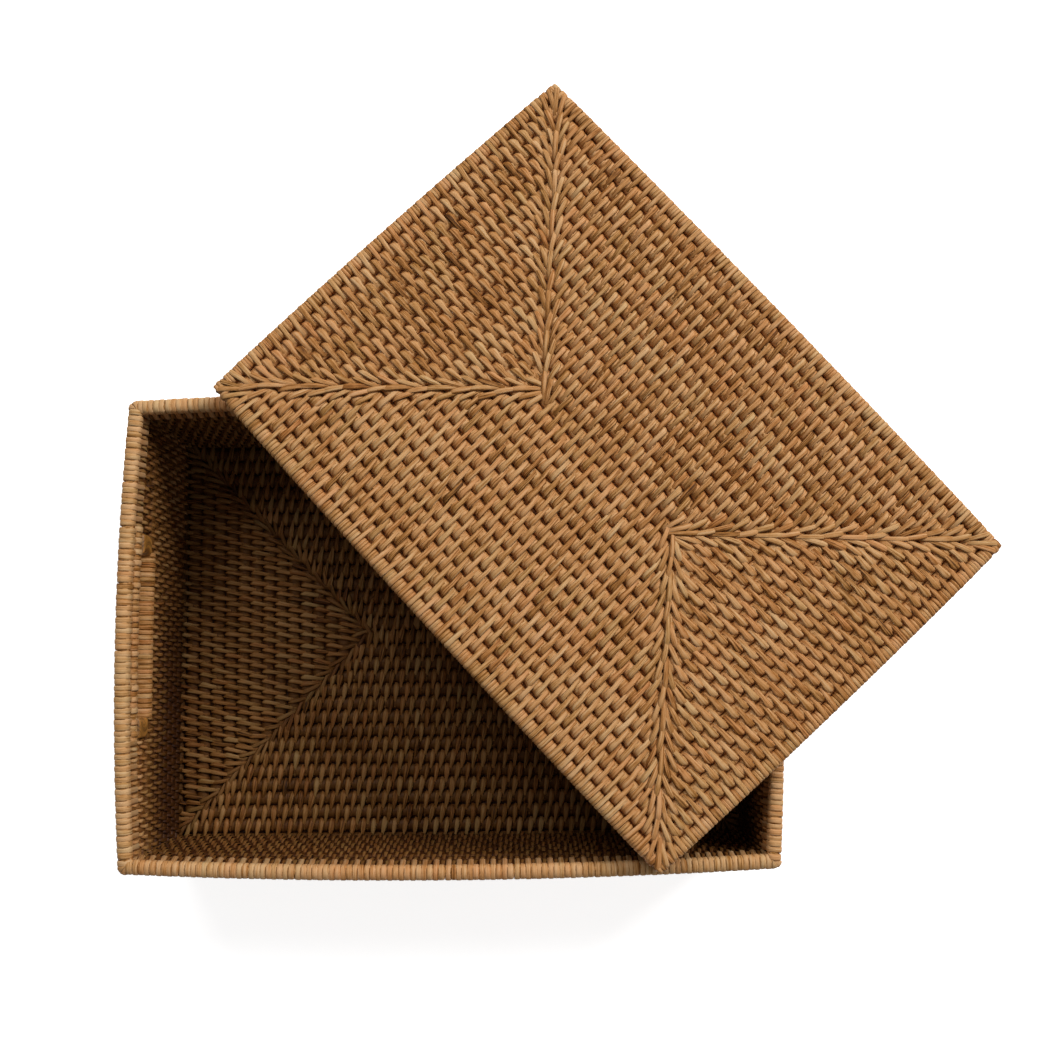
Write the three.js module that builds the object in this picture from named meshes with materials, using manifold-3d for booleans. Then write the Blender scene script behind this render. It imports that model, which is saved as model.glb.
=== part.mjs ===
// Coiled rattan box for papers, with its loose lid laid askew across the rim.
// Millimetres, +Z up. The origin is the middle of the underside and +X runs along the long side.
// Every course is a rod bent into a closed rectangle. The base and the lid grow outwards from a straight
// start rod, course by course, and the wall is a stack of courses that stands on the base's last one.

import * as THREE from "three";
import { mergeVertices } from "three/addons/utils/BufferGeometryUtils.js";
import Module from "manifold-3d";

const wasm = await Module();
wasm.setup();

// Box, outside the rim and from corner to corner
const boxLength = 350;
const boxWidth = 251;

// Rim: its own section, how far it stands outside the wall, and how far each side swells at its middle
const rimThickness = 9;
const rimHeight = 8.6;
const rimOverhang = 0.5;
const rimBow = 4.5;

// Wall: a stack of equal courses
const wallThickness = 8;
const wallPitch = 8;
const wallCourses = 11;

// Base: courses round a start rod, whose length runs between the points where the mitres meet
const baseThickness = 8;
const baseCourses = 14;
const baseStartLength = 110;

// Handle slots in both short walls: whole courses below them, courses cut by them, clear length, end plugs
const coursesBelowSlot = 8;
const slotCourses = 2;
const slotLength = 89;
const plugLength = 12;
const plugHollow = 3;
const plugInset = 0.5;

// Lid: as large as the rim, with a start rod that lies a little off the middle and slightly bowed sides
const lidThickness = 8;
const lidCourses = 14;
const lidStartLength = 108;
const lidStartShift = 1.3;
const lidBow = 1.5;

// Lip under the lid, which drops inside the rim when the box is shut
const lipDepth = 8;
const lipThickness = 8;
const lipClearance = 1.5;

// Where the lid lies: turned about the vertical, and moved from the box's middle
const lidTurnDegrees = -47.6;
const lidMoveX = 82.9;
const lidMoveY = 86.6;

// Gaps and edges of the courses
const courseGap = 0.3;
const lidRestGap = 0.3;
const sectionChamfer = 2.2;
const outerCornerRadius = 5;
const innerCornerRadius = 2;
const coilCornerRadius = 3;

// Steps along a bowed side, round a corner and along a plug's hollow
const wallSideSteps = 4;
const lidSideSteps = 2;
const cornerSteps = 2;
const plugSteps = 6;

// Sizes that follow from the ones above
const wallOuterX = boxLength / 2 - rimOverhang;
const wallOuterY = boxWidth / 2 - rimOverhang;
const wallInnerX = wallOuterX - wallThickness;
const wallInnerY = wallOuterY - wallThickness;
const wallTop = baseThickness + wallCourses * wallPitch;
const boxHeight = wallTop + rimHeight;
const slotBottom = baseThickness + coursesBelowSlot * wallPitch;
const slotHeight = slotCourses * wallPitch;
const cutHalfLength = slotLength / 2 + plugLength;

// Rattan, darker inside the box and smoother where it is closely bound or bare
const rattan = {
  base: { color: 0x8f6439, roughness: 0.7, metalness: 0 },
  wall: { color: 0x9a6d3f, roughness: 0.65, metalness: 0 },
  rim: { color: 0xb4864f, roughness: 0.55, metalness: 0 },
  plug: { color: 0xb98d57, roughness: 0.5, metalness: 0 },
  lid: { color: 0xb98b58, roughness: 0.6, metalness: 0 },
  border: { color: 0xbf9260, roughness: 0.55, metalness: 0 },
  lip: { color: 0xa87a4b, roughness: 0.6, metalness: 0 },
};

// Adds a rectangle with rounded corners to a path. Its sides swell outwards to `bow` at their middles.
function traceRectangle(path, { halfX, halfY, centreY = 0, bow = 0, radius, sideSteps = 1 }) {
  const corners = [[1, -1], [1, 1], [-1, 1], [-1, -1]];
  corners.forEach(([signX, signY], side) => {
    const [nextX, nextY] = corners[(side + 1) % corners.length];
    const corner = new THREE.Vector2(signX * halfX, signY * halfY);
    const next = new THREE.Vector2(nextX * halfX, nextY * halfY);
    const along = next.clone().sub(corner).normalize();
    const outward = new THREE.Vector2(along.y, -along.x);
    const start = corner.clone().addScaledVector(along, radius);
    const end = next.clone().addScaledVector(along, -radius);
    for (let step = 0; step <= sideSteps; step += 1) {
      const t = step / sideSteps;
      const swell = bow * (1 - (2 * t - 1) ** 2);
      const point = start.clone().lerp(end, t).addScaledVector(outward, swell);
      if (side === 0 && step === 0) path.moveTo(point.x, point.y + centreY);
      else path.lineTo(point.x, point.y + centreY);
    }
    const turned = new THREE.Vector2(-along.y, along.x);
    const after = next.clone().addScaledVector(turned, radius);
    path.quadraticCurveTo(next.x, next.y + centreY, after.x, after.y + centreY);
  });
  return path;
}

// A course: a flat ring, or a plain bar if it goes round nothing, with chamfered edges, standing on z = 0
function courseGeometry(outer, inner, height) {
  const shape = traceRectangle(new THREE.Shape(), outer);
  if (inner) shape.holes.push(traceRectangle(new THREE.Path(), inner));
  const geometry = new THREE.ExtrudeGeometry(shape, {
    depth: height - 2 * sectionChamfer,
    bevelThickness: sectionChamfer,
    bevelSize: sectionChamfer,
    bevelOffset: -sectionChamfer,
    bevelSegments: 1,
    curveSegments: cornerSteps,
  });
  return geometry.translate(0, 0, sectionChamfer);
}

// The course numbered `index` of a base or lid that grows from a start rod, which is number 0.
// The base or lid reaches halfX and halfY, and counts half the start rod and `courses` courses to its edge.
function coiledCourse(index, { halfX, halfY, courses, startLength, startShift, bow, sideSteps, height }) {
  const edge = (count, gapSide, radius) => {
    const share = count / (courses + 0.5);
    return {
      halfX: THREE.MathUtils.lerp(startLength / 2, halfX, share) + gapSide * courseGap / 2,
      halfY: halfY * share + gapSide * courseGap / 2,
      centreY: startShift * (1 - share),
      bow: bow * share,
      radius,
      sideSteps,
    };
  };
  const outer = edge(index + 0.5, -1, coilCornerRadius);
  const inner = index > 0 ? edge(index - 0.5, 1, innerCornerRadius) : null;
  return courseGeometry(outer, inner, height);
}

function numbered(name, index) {
  return `${name}_${String(index).padStart(2, "0")}`;
}

function addMesh(group, name, geometry, finish) {
  const mesh = new THREE.Mesh(geometry, new THREE.MeshStandardMaterial(finish));
  mesh.name = name;
  group.add(mesh);
  return mesh;
}

// Solid for cutting, from a closed geometry
function toSolid(geometry) {
  const bare = geometry.clone();
  bare.deleteAttribute("normal");
  bare.deleteAttribute("uv");
  const merged = mergeVertices(bare);
  return new wasm.Manifold(new wasm.Mesh({
    numProp: 3,
    vertProperties: new Float32Array(merged.attributes.position.array),
    triVerts: new Uint32Array(merged.index.array),
  }));
}

function toGeometry(solid) {
  const mesh = solid.getMesh();
  const geometry = new THREE.BufferGeometry();
  geometry.setAttribute("position", new THREE.BufferAttribute(new Float32Array(mesh.vertProperties), 3));
  geometry.setIndex(new THREE.BufferAttribute(new Uint32Array(mesh.triVerts), 1));
  geometry.computeVertexNormals();
  return geometry;
}

// Base

function baseCourse(index) {
  return coiledCourse(index, {
    halfX: wallInnerX,
    halfY: wallInnerY,
    courses: baseCourses,
    startLength: baseStartLength,
    startShift: 0,
    bow: 0,
    sideSteps: 1,
    height: baseThickness - courseGap,
  });
}

function footCourse() {
  const outer = { halfX: wallOuterX, halfY: wallOuterY, radius: outerCornerRadius };
  const inner = {
    halfX: wallInnerX + courseGap / 2,
    halfY: wallInnerY + courseGap / 2,
    radius: innerCornerRadius,
  };
  return courseGeometry(outer, inner, baseThickness - courseGap);
}

function buildBase() {
  const base = new THREE.Group();
  addMesh(base, "base_start_rod", baseCourse(0), rattan.base);
  for (let index = 1; index <= baseCourses; index += 1) {
    addMesh(base, numbered("base_course", index), baseCourse(index), rattan.base);
  }
  addMesh(base, "base_foot_course", footCourse(), rattan.base);
  return base;
}

// Wall, handle slots and rim

// The sides are straight at the base and swell more and more towards the rim
function bowAt(height) {
  return rimBow * (height - baseThickness) / (boxHeight - baseThickness);
}

function wallCourse(index) {
  const bow = bowAt(baseThickness + (index - 0.5) * wallPitch);
  const sideSteps = wallSideSteps;
  const outer = { halfX: wallOuterX, halfY: wallOuterY, bow, radius: outerCornerRadius, sideSteps };
  const inner = { halfX: wallInnerX, halfY: wallInnerY, bow, radius: innerCornerRadius, sideSteps };
  return courseGeometry(outer, inner, wallPitch - courseGap);
}

// The front or the back half of a course that the handle slots cut in two
function cutWallCourse(index, side) {
  const reach = boxLength + 2 * rimBow;
  const keep = new THREE.BoxGeometry(reach, boxWidth, reach);
  keep.translate(0, side * (cutHalfLength + boxWidth / 2), 0);
  return toGeometry(toSolid(wallCourse(index)).intersect(toSolid(keep)));
}

function rimCourse() {
  const bow = rimBow;
  const sideSteps = wallSideSteps;
  const outer = { halfX: boxLength / 2, halfY: boxWidth / 2, bow, radius: outerCornerRadius, sideSteps };
  const inner = {
    halfX: boxLength / 2 - rimThickness,
    halfY: boxWidth / 2 - rimThickness,
    bow,
    radius: innerCornerRadius,
    sideSteps,
  };
  return courseGeometry(outer, inner, rimHeight);
}

// A bare wedge in the end of a slot, hollowed on the side that faces the hand, drawn in Y and Z
function plugGeometry(side) {
  const height = slotHeight - courseGap;
  const tip = side * slotLength / 2;
  const hollow = side * (slotLength / 2 + 2 * plugHollow);
  const end = side * (cutHalfLength - courseGap);
  const thickness = wallThickness - 2 * plugInset;
  const shape = new THREE.Shape();
  shape.moveTo(tip, 0);
  shape.lineTo(end, 0);
  shape.lineTo(end, height);
  shape.lineTo(tip, height);
  shape.quadraticCurveTo(hollow, height / 2, tip, 0);
  const geometry = new THREE.ExtrudeGeometry(shape, {
    depth: thickness,
    bevelEnabled: false,
    curveSegments: plugSteps,
  });
  geometry.translate(0, 0, -thickness / 2);
  const turn = new THREE.Matrix4().makeBasis(
    new THREE.Vector3(0, 1, 0),
    new THREE.Vector3(0, 0, 1),
    new THREE.Vector3(1, 0, 0),
  );
  return geometry.applyMatrix4(turn);
}

// Middle of a short wall's thickness at the ends of its slot
function plugX() {
  const along = (slotLength + plugLength) / 2 / (wallInnerY - innerCornerRadius);
  const bow = bowAt(slotBottom + slotHeight / 2) * (1 - along ** 2);
  return wallOuterX - wallThickness / 2 + bow;
}

function buildPlugs() {
  const plugs = new THREE.Group();
  const walls = { left: -1, right: 1 };
  const ends = { front: -1, back: 1 };
  for (const [wall, signX] of Object.entries(walls)) {
    for (const [end, signY] of Object.entries(ends)) {
      const plug = addMesh(plugs, `handle_plug_${wall}_${end}`, plugGeometry(signY), rattan.plug);
      plug.position.set(signX * plugX(), 0, slotBottom);
    }
  }
  return plugs;
}

function buildWall() {
  const wall = new THREE.Group();
  for (let index = 1; index <= wallCourses; index += 1) {
    const height = baseThickness + (index - 1) * wallPitch;
    const name = numbered("wall_course", index);
    const cut = index > coursesBelowSlot && index <= coursesBelowSlot + slotCourses;
    if (cut) {
      addMesh(wall, `${name}_front`, cutWallCourse(index, -1), rattan.wall).position.z = height;
      addMesh(wall, `${name}_back`, cutWallCourse(index, 1), rattan.wall).position.z = height;
    } else {
      addMesh(wall, name, wallCourse(index), rattan.wall).position.z = height;
    }
  }
  addMesh(wall, "rim_course", rimCourse(), rattan.rim).position.z = wallTop;
  wall.add(buildPlugs());
  return wall;
}

// Lid

function lidCourse(index) {
  return coiledCourse(index, {
    halfX: boxLength / 2,
    halfY: boxWidth / 2,
    courses: lidCourses + 1,
    startLength: lidStartLength,
    startShift: lidStartShift,
    bow: lidBow,
    sideSteps: lidSideSteps,
    height: lidThickness,
  });
}

function lipCourse() {
  const halfX = boxLength / 2 - rimThickness - lipClearance;
  const halfY = boxWidth / 2 - rimThickness - lipClearance;
  const outer = { halfX, halfY, radius: outerCornerRadius };
  const inner = { halfX: halfX - lipThickness, halfY: halfY - lipThickness, radius: innerCornerRadius };
  return courseGeometry(outer, inner, lipDepth - courseGap);
}

function buildLid() {
  const lid = new THREE.Group();
  addMesh(lid, "lid_start_rod", lidCourse(0), rattan.lid).position.z = lipDepth;
  for (let index = 1; index <= lidCourses; index += 1) {
    addMesh(lid, numbered("lid_course", index), lidCourse(index), rattan.lid).position.z = lipDepth;
  }
  addMesh(lid, "lid_border_course", lidCourse(lidCourses + 1), rattan.border).position.z = lipDepth;
  addMesh(lid, "lid_lip_course", lipCourse(), rattan.lip);
  lid.rotation.z = THREE.MathUtils.degToRad(lidTurnDegrees);
  lid.position.set(lidMoveX, lidMoveY, boxHeight + lidRestGap);
  return lid;
}

const wovenBox = new THREE.Group();
wovenBox.add(buildBase());
wovenBox.add(buildWall());
wovenBox.add(buildLid());

export default wovenBox;
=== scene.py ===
import math
from dataclasses import dataclass

import bmesh
import bpy
import numpy as np
from bpy.props import FloatProperty, FloatVectorProperty, IntProperty, PointerProperty
from mathutils import Matrix, Vector


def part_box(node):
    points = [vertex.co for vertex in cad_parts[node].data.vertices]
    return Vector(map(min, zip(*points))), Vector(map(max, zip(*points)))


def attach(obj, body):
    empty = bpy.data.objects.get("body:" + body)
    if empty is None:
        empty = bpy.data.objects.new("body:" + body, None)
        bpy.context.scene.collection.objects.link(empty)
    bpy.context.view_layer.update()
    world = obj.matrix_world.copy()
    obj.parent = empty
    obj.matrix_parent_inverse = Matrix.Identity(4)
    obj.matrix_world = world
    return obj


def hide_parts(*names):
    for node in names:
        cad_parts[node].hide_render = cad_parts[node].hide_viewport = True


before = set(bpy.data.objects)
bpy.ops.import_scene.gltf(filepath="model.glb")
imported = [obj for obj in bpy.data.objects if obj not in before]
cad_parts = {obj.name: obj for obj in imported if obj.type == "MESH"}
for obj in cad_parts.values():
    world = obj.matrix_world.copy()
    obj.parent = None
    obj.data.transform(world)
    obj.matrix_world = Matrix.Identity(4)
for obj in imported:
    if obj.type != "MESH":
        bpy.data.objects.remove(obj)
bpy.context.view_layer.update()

bl_info = {
    "name": "Coiled Rattan Box",
    "version": (1, 0, 0),
    "blender": (4, 5, 0),
    "location": "View3D > Sidebar > Rattan",
    "description": "Rods, splints, bindings and plugs of a coiled rattan box and its loose lid",
    "category": "Object",
}

MM = 0.001
SIDES = ("front", "right", "back", "left")
LONG_SIDES = ("front", "back")
SHORT_SIDES = ("right", "left")
COIL_ROUND = ("back", "right", "front", "left")

# Box and lid, in millimetres, as the solids have them
BOX_HALF = (175.0, 125.5)
WALL_HALF = (174.5, 125.0)
WALL_THICKNESS = 8.0
PITCH = 8.0
BASE_THICKNESS = 8.0
BASE_COURSES = 14
BASE_START_HALF = 55.0
WALL_COURSES = 11
RIM = WALL_COURSES + 1
RIM_BOW = 4.5
RIM_HEIGHT = 8.6
SLOT_BELOW = 8
CUT_COURSES = (SLOT_BELOW + 1, SLOT_BELOW + 2)
SLOT_HALF = 44.5
CUT_HALF = 56.5
PLUG_HOLLOW = 3.0
LID_COURSES = 15
LID_START_HALF = 54.0
LID_SHIFT = 1.3
LID_BOW = 1.5
LID_LEVEL = 116.9
LIP_HALF = (160.5, 111.0)
LIP_LEVEL = 108.75
LID_TURN = math.radians(-47.6)
LID_MOVE = (83.5, 87.15)
BOX_HEIGHT = BASE_THICKNESS + WALL_COURSES * PITCH + RIM_HEIGHT

# Where the weave lies off the solids: the wall has opened at the rim, along x and y, outwards on both sides
# and then all of it aside, the base's splints lie higher, the lid's reach further and the lip's are lower
RIM_OPENED = (0.6, 1.75)
RIM_ASIDE = (-0.6, 0.85)
RIM_LIFT = 0.04
BASE_LEVEL = BASE_THICKNESS / 2 + 0.5
LID_HALF = (BOX_HALF[0], BOX_HALF[1] + 0.5)
LIP_COURSE = 7.7

# Corners of wall and lip: radius in the middle of the rod and outside, turn from a side's end to the corner,
# how much its splints stand out there, and the narrowest that a wrap gets inside
WALL_CORNER = (0.6, 3.4)
LIP_CORNER = (1.5, 5.5)
CORNER_TURN = 0.95
CORNER_SHARPNESS = 0.6
NARROWEST_WRAP = 0.25

# Half sizes of the rods' sections in millimetres, sideways and up
START_ROD = (3.85, 2.9)
SHEET_ROD = (3.9, 3.1)
EDGE_ROD = (4.05, 3.1)
SHEET_FILLER = (1.2, 0.8)
WALL_ROD = (2.9, 3.85)
SLOT_ROD = (3.5, 4.0)
RIM_ROD = (3.4, 3.9)
WALL_FILLER = (0.8, 1.2)
LIP_ROD = (3.0, 3.0)
ROUND_SIDES = 12
FILLER_SIDES = 6
# How far the fillers of the cut courses run into the plugs
FILLER_OVERLAP = 2.5
# How far from its middle a rod lies open to view: nearer its middle it gets painted groove shade
ROD_BARE = 2.5
# How far the rods of base and lid stray, in courses
ROD_STRAYS = 0.035
# What counts as one splint's half width on a rod that is wound all over
FIBRE_BREADTH = 1.8

# Tone from 0 to 1: lightness of splints, of rods and of what lies deep in a groove, dark as painted shade,
# and how it and the warmth stray, from splint to splint and from stitch to stitch
USUAL_LIGHT = 0.56
# The wall's rods are darker than its splints, as painted shade between the stitches
WALL_ROD_LIGHT = 0.42
LIP_ROD_LIGHT = 0.4
GROOVE_SHADE_TINT = (0.18, 0.5, 0.5)
DARKEST = 0.05
LIGHT_STRAYS = (0.06, 0.07)
WARMTH = (0.25, 0.75)
ROD_WARMTH = (0.3, 0.7)
WARMTH_STRAYS = 0.12
STAINED_SHARE = 0.025
STAIN = (0.10, 0.26)
# How many stitches one splint lasts for
RUN_OF_STITCHES = (5, 18)

# Painted shade of the inside: where it starts to fade going up and how fast, how far from the middle of the
# short walls it differs, its share high up behind and low down in front, and on the long walls in front and
# behind
SHADE_TOP = 1.75
SHADE_FADE = 2.0
SHADE_REACH = 80.0
SHADE_BEHIND = 0.6
SHADE_AHEAD = (0.22, 1.9)
LONG_WALL_SHADES = (0.87, 0.6)
# Painted shade on the rods, which lie between the stitches, is deeper than on the splints on them
FLOOR_ROD_SHADE = 1.55
WALL_ROD_SHADE = (0.5, 0.65)

# The place along a stitch from which it lies open to view and gets no painted groove shade, also where it
# goes round the rod
BARE_NOWHERE = 9.0
BARE_ALL_OVER = -9.0
BARE_HEAD = 0.3
BARE_OUTSIDE = 0.0
# Where a stitch starts to curl, and its head's share of the tail's curl
CURL_FROM = 0.45
HEAD_CURL = 0.4
# A stitch is sunk in the gap up to this height, where painted shade darkens it fully, and gets less of it up
# to so much higher
SUNK_HEIGHT = 1.0
BARE_OVER = 2.2
# Corners of a splint's section
SECTION_SIDES = 6

# Rows of stitches, in millimetres or shares of the spacing: room between the even columns and a mitre, the
# spacing there and in short rows, the length of a row with a single stitch, and how the places stray
LATTICE_END = 6.5
MITRE_SPACING = 0.68
SHORT_ROW_SPACING = 0.7
SINGLE_ROW = 0.8
PLACE_STRAYS = 0.25
# On long and on short sides, in even and in odd rows: from a mitre to the stitch beside it, and the slope of
# that stitch
MITRES = (((2.2, 0.74), (1.2, 0.94)), ((4.0, 0.50), (2.6, 0.62)))
# The nearness to a mitre, from 0 to 1, from which a stitch has the mitre's form, and how much higher stitches
# are there on the lid, and lower on the base
TURNED_FROM = 0.35
PROUD_MITRE = 0.06
SUNK_MITRE = -0.03
# The lid's border, on long and on short sides: slope of the stitches at a corner, and how far wraps run on.
# Then, in millimetres, room at a corner, a wrap's width and the length over which the corner is rounded.
BORDER_SLOPES = (0.94, 0.60)
BORDER_ENDS = (1.0, 2.8)
BORDER_CLEAR = 1.5
BORDER_WRAP = 1.95
BORDER_ROUNDING = 3.5
# Bound edges of a handle slot, by course: half length, spacing, and how proud and pale every other wrap is
SLOT_EDGES = {
    SLOT_BELOW: (SLOT_HALF, 2.6, ((1.0, -0.04), (1.0, -0.04))),
    WALL_COURSES: (CUT_HALF, 2.95, ((1.14, 0.16), (1.02, 0.0))),
}
# Room between a slot's plug and the wall's stitches, and spacing of the lip's wraps
SLOT_CLEAR = 1.5
LIP_SPACING = 3.5
# Widths as shares of the spacing, a little over 1 where wraps touch
SLOT_WRAP_WIDTH = 1.09
BORDER_WRAP_WIDTH = 1.1
LIP_WRAP_WIDTH = 1.03
RIM_WRAP_WIDTH = 0.60

# Each winding's own step on from the seed
SEED_STEPS = {
    "base_splints_long_sides": 1, "base_splints_short_sides": 2,
    "lid_splints_long_sides": 3, "lid_splints_short_sides": 4, "lid_border_binding": 5,
    "wall_splints_front": 20, "wall_splints_right": 21, "wall_splints_back": 22, "wall_splints_left": 23,
    "rim_binding": 30, "lid_lip_binding": 40,
}
# What a path carries at each point for the sweep and the finish, and what only the sweep needs
PATH_ATTRIBUTES = ("facing", "half", "lift", "shade", "tint", "aslant")
SWEEP_ATTRIBUTES = ("facing", "half", "aslant")

# How fast fibres and patches change across a splint, along it and from one splint to the next, how much they
# show, and how rough the fibres are between their limits
FIBRE_PACE = (2.6, 45.0, 300.0)
FIBRE_CONTRAST = 1.8
FIBRE_LIMITS = (0.3, 0.7)
FIBRE_ROUGHNESS = (0.72, 0.52)
PATCH_PACE = (0.8, 190.0, 300.0)
PATCH_CONTRAST = 0.45
# Places of the colours on the scale of tone, the dyes of redder and yellower splints, and the painted shade
# of sunken and of shaded splints
TONE_PLACES = {"dark": 0.05, "brown": 0.32, "tan": 0.60, "pale": 0.95}
REDDER = (1.06, 0.90, 0.78)
YELLOWER = (0.98, 1.03, 0.95)
PAINTED_GROOVE_SHADE = (0.50, 0.27, 0.04)
PAINTED_SHADE_TINTS = ((0.110, 0.070, 0.010), (1.0, 0.91, 0.58))
# The plugs' grain: how fast it changes outwards from the slot, through the wall and up, and its dark lines
GRAIN_PACE = (1100.0, 300.0, 60.0)
GRAIN_PLACES = (0.38, 0.62)
GRAIN_DARK = 0.3
PLUG_ROWS = 5
PLUG_ROUNDING = 1.7

# Stage, in metres: the floor's half size, level, colour and glow, and size and place of the lamps
FLOOR_HALF = 6.0
FLOOR_LEVEL = -0.0002
FLOOR_COLOUR = (0.86, 0.86, 0.86, 1.0)
FLOOR_GLOW = 0.82
WHITE = (1.0, 1.0, 1.0, 1.0)
KEY_LAMP = (1.2, (1.71, 1.54, 1.93))
TOP_LAMP = (1.0, (-0.5, 1.35, 1.9))


def both_faces(tail, face, head, other=None):
    """A closed stitch: its tail end, upper face and head end, and the same or another face underneath"""
    under = [(place, -height, width) for place, height, width in reversed(other or face)]
    return np.array([tail, *face, head, *under])


def wrap_round(half, shoulder, top, end_width):
    """A closed wrap round one course: half its breadth, and place and height of its shoulders and its top"""
    face = [(sign * place, height, 1.0) for sign, (place, height) in (
        (-1.0, shoulder), (-1.0, top), (1.0, top), (1.0, shoulder))]
    return both_faces((-half, 0.0, end_width), face, (half, 0.0, end_width))


# Stitches round two courses: place across them in courses, height in mm, width as a share.
# A ridge is nearly even, and a spindle is broad over the course that it binds.
RIDGE_FACE = [
    (-0.78, 2.60, 0.84), (-0.02, 3.45, 0.95), (0.42, 3.62, 1.10), (0.72, 3.25, 1.12), (0.88, 2.10, 0.92)]
RIDGE_STITCH = both_faces((-0.97, 0.0, 0.55), RIDGE_FACE, (0.95, 0.0, 0.60))
# A ridge on the outside of the wall. Inside, its tail is drawn in deep.
WALL_STITCH = both_faces((-0.97, 0.0, 0.55), RIDGE_FACE, (0.95, 0.0, 0.60), [
    (-0.74, 2.20, 0.70), (-0.08, 2.75, 0.85), (0.22, 3.55, 1.10), (0.64, 3.62, 1.16), (0.88, 2.30, 0.95)])
SPINDLE_STITCH = both_faces((-0.95, 0.0, 0.35), [
    (-0.76, 2.65, 0.66), (0.00, 3.45, 0.74), (0.40, 3.68, 0.99), (0.70, 3.28, 0.98), (0.87, 2.10, 0.74)],
    (0.94, 0.0, 0.45))
# A stitch of the base, which is broad at its inner end and narrow at its outer one
FLOOR_STITCH = both_faces((-0.95, 0.0, 0.52), [
    (-0.90, 2.20, 0.88), (-0.66, 3.50, 1.06), (-0.26, 3.62, 0.98), (0.08, 3.05, 0.62), (0.76, 2.45, 0.56)],
    (0.95, 0.0, 0.36))
# A stitch that lies along a mitre and slips under the next one
MITRE_STITCH = both_faces((-0.95, 0.0, 0.40), [
    (-0.72, 2.75, 0.75), (-0.02, 3.50, 0.97), (0.38, 3.65, 1.05), (0.66, 3.20, 0.88), (0.86, 2.20, 0.58)],
    (0.95, 0.0, 0.30))
# A ridge whose outer end goes round an edge
EDGE_STITCH = both_faces((-0.97, 0.0, 0.55), [
    (-0.78, 2.60, 0.84), (-0.02, 3.45, 0.95), (0.50, 3.55, 1.04), (0.74, 3.42, 1.02), (0.88, 2.75, 1.00)],
    (0.98, 0.0, 0.80))
SHORT_WRAP = wrap_round(0.46, (0.37, 2.6), (0.14, 3.45), 0.95)
# A wrap round the squarer edge of a handle slot
SLOT_WRAP = wrap_round(0.50, (0.47, 2.9), (0.22, 3.75), 1.0)
LIP_WRAP = SHORT_WRAP * np.array([0.98, 1.02, 1.0])


def length_property(name, description, millimetres):
    return FloatProperty(name=name, description=description, default=millimetres * MM, unit="LENGTH")


def share_property(name, description, default):
    return FloatProperty(name=name, description=description, default=default, subtype="FACTOR")


def angle_property(name, description, degrees):
    return FloatProperty(name=name, description=description, default=math.radians(degrees), subtype="ANGLE")


def colour_property(name, description, default):
    return FloatVectorProperty(name=name, description=description, default=default, subtype="COLOR")


class RattanSplints(bpy.types.PropertyGroup):
    """Sizes of the splints and how they lie"""

    lid_unit: length_property("Lid stitch spacing", "From stitch to stitch along a course of the lid", 7.2)
    base_unit: length_property("Base stitch spacing", "From stitch to stitch along a course of the base", 6.3)
    wall_unit: length_property(
        "Wall stitch spacing", "From stitch to stitch along a course of the wall and the rim", 6.05)
    ridge_width: share_property("Ridge width", "Width of an even stitch, as a share of the spacing", 0.41)
    spindle_width: share_property(
        "Spindle width", "Width of a stitch that swells, as a share of the spacing", 0.55)
    floor_width: share_property(
        "Base stitch width", "Width of a stitch of the base, as a share of the spacing", 0.54)
    wall_width: share_property(
        "Wall stitch width", "Width of a stitch of the wall, as a share of the spacing", 0.31)
    thickness: share_property("Splint thickness", "Thickness of a splint, as a share of its width", 0.27)
    ridge_lean: angle_property(
        "Ridge lean", "How far the stitches of the lid's long sides lean along their course", 0.5)
    spindle_lean: angle_property(
        "Spindle lean", "How far the stitches of the lid's short sides lean along their course", 4.5)
    base_lean: angle_property("Base lean", "How far the stitches of the base lean along their course", 11.0)
    wall_lean: angle_property("Wall lean", "How far the stitches of the wall lean along their course", 2.0)
    curl: FloatProperty(
        name="Curl", description="How far the tail of a stitch turns aside before it goes down", default=0.75)
    skew: FloatProperty(
        name="Skew", description="How far the ends of a stitch are cut aslant, as a slope", default=0.55)
    fan_reach: length_property(
        "Fan reach", "How far from a mitre the stitches start to turn towards it", 13.0)
    mitre_shift: length_property("Mitre shift", "How far the mitres lie off the diagonals", 2.4)
    # Painted shade: how much the floor's splints are darkened
    floor_painted_shade: share_property(
        "Floor shade", "How much darker the splints of the floor have become", 0.58)
    # Painted shade: how much the wall's splints are darkened, most of all low down inside
    wall_painted_shade: share_property(
        "Wall shade", "How much darker the splints of the wall have become low down inside", 0.88)
    seed: IntProperty(
        name="Seed", description="Start of the random unevenness of the handwork", default=11)


class RattanColours(bpy.types.PropertyGroup):
    """Colours of the rattan"""

    pale: colour_property("Pale", "Palest splints", (0.63, 0.398, 0.212))
    tan: colour_property("Tan", "Usual splints", (0.545, 0.287, 0.116))
    brown: colour_property("Brown", "Darker splints", (0.345, 0.145, 0.032))
    dark: colour_property("Dark", "Stained splints", (0.07, 0.024, 0.003))
    plug: colour_property("Plug", "Bare plugs in the handle slots", (0.46, 0.195, 0.036))


class RattanStage(bpy.types.PropertyGroup):
    """Camera and light"""

    camera_place: FloatVectorProperty(
        name="Camera place", description="Where the camera stands", subtype="TRANSLATION",
        default=(0.0376, -0.0166, 0.7909))
    camera_turn: FloatVectorProperty(
        name="Camera turn", description="Turn of a camera that looks straight down", subtype="EULER",
        default=(math.radians(5.94), math.radians(-0.41), math.radians(-0.45)))
    focal: FloatProperty(
        name="Focal length", description="Of a lens on a 36 mm wide sensor, in millimetres", default=43.34)
    key_power: FloatProperty(
        name="Key light", description="Power of the large soft lamp", default=65.0, subtype="POWER")
    top_power: FloatProperty(
        name="Top light", description="Power of the soft lamp high up behind the box", default=17.0,
        subtype="POWER")
    ambient: FloatProperty(
        name="Ambient", description="Strength of the even light from all round", default=0.16)


def placed(place, points, normals):
    """Points and normals carried to where their body lies"""
    place = np.array(place)
    return points @ place[:3, :3].T + place[:3, 3], normals @ place[:3, :3].T


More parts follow.
